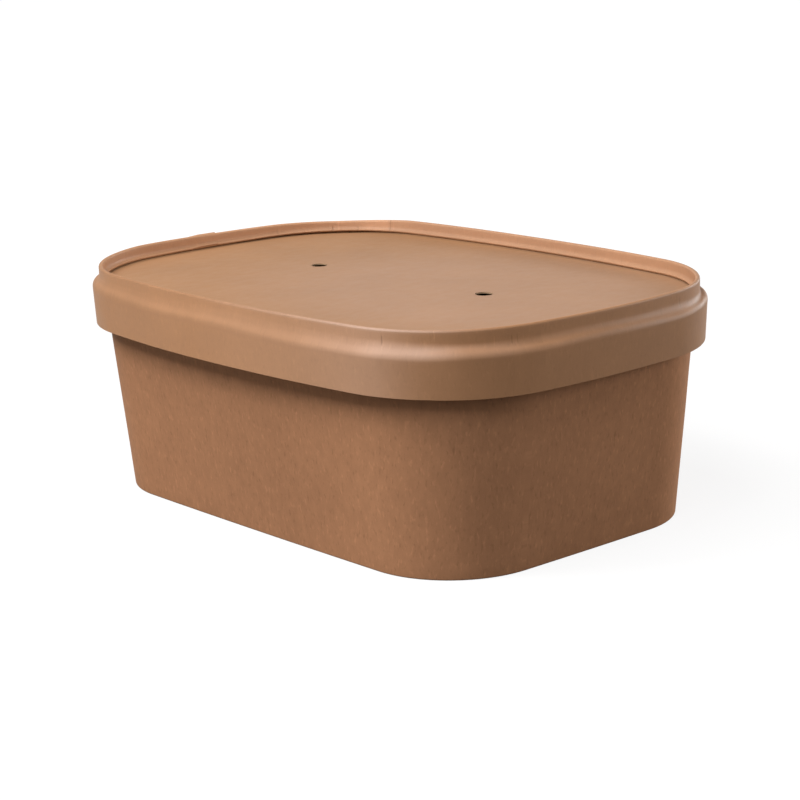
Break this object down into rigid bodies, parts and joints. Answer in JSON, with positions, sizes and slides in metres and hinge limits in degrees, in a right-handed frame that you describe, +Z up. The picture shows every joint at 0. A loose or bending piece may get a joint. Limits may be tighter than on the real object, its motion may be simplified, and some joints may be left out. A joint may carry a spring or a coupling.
{
  "type": "paperboard salad container",
  "caption": "Rounded rectangular kraft paperboard bowl with tapered walls and a rolled rim, closed by a recessed, vented paperboard lid with a deep skirt.",
  "frame": {"origin": "centre of the footprint, on the surface the bowl stands on", "axes": "+X along the long side, +Y along the short side, +Z up; the glued laps are on the short side at -X"},
  "size_m": [0.1762, 0.1244, 0.0664],
  "materials": {
    "kraft_wall": "matt uncoated kraft outside, thin film inside",
    "kraft_base": "matt uncoated kraft outside, thin film inside",
    "kraft_ring": "smooth calendered kraft",
    "kraft_panel": "smooth calendered kraft"
  },
  "bodies": {
    "bowl": {"bowl_wall": "kraft_wall", "bowl_base": "kraft_base"},
    "lid": {"lid_ring": "kraft_ring", "lid_panel": "kraft_panel"}
  },
  "joints": [
    {"name": "lid_lift", "type": "slide", "parent": "bowl", "child": "lid", "axis": [0, 0, 1], "range_m": [0, 0.05]}
  ]
}
